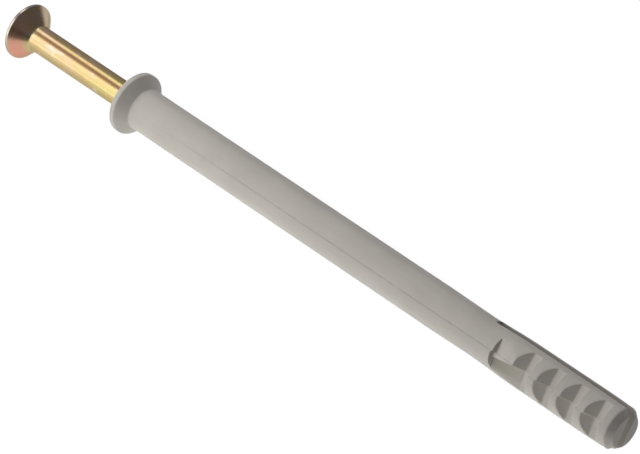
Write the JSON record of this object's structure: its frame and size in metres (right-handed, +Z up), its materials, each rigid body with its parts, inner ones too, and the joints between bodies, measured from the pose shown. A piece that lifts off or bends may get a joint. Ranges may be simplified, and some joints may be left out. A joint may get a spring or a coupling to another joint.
{
  "type": "hammer-in wall anchor",
  "caption": "Hammer-in wall anchor: grey nylon sleeve with a countersunk collar and split, notched legs that spread as its yellow zinc-plated screw nail is driven in.",
  "frame": {"origin": "centre of the collar's outer face, on the anchor's axis", "axes": "+X along the anchor into the wall, +Z up, the slots between the legs open at +Z and -Z"},
  "size_m": [0.149, 0.0118, 0.0118],
  "materials": {
    "grey_nylon": "moulded nylon, satin, stone grey",
    "yellow_zinc": "yellow zinc passivated steel, glossy"
  },
  "bodies": {
    "sleeve": {"sleeve": "grey_nylon"},
    "leg_front": {"expansion_leg_front": "grey_nylon"},
    "leg_rear": {"expansion_leg_rear": "grey_nylon"},
    "screw": {"screw_nail": "yellow_zinc"}
  },
  "joints": [
    {"name": "screw_drive", "type": "slide", "parent": "sleeve", "child": "screw", "axis": [1, 0, 0], "range_m": [0, 0.0284]},
    {"name": "leg_front_spread", "type": "hinge", "parent": "sleeve", "child": "leg_front", "pos_m": [0.089, -0.00323, 0], "axis": [0, 0, -1], "range_deg": [0, 3.4]},
    {"name": "leg_rear_spread", "type": "hinge", "parent": "sleeve", "child": "leg_rear", "pos_m": [0.089, 0.00323, 0], "axis": [0, 0, 1], "range_deg": [0, 3.4]}
  ],
  "couplings": [
    {"joint": "leg_front_spread", "follows": "screw_drive", "rad_per_m": 2},
    {"joint": "leg_rear_spread", "follows": "screw_drive", "rad_per_m": 2}
  ]
}
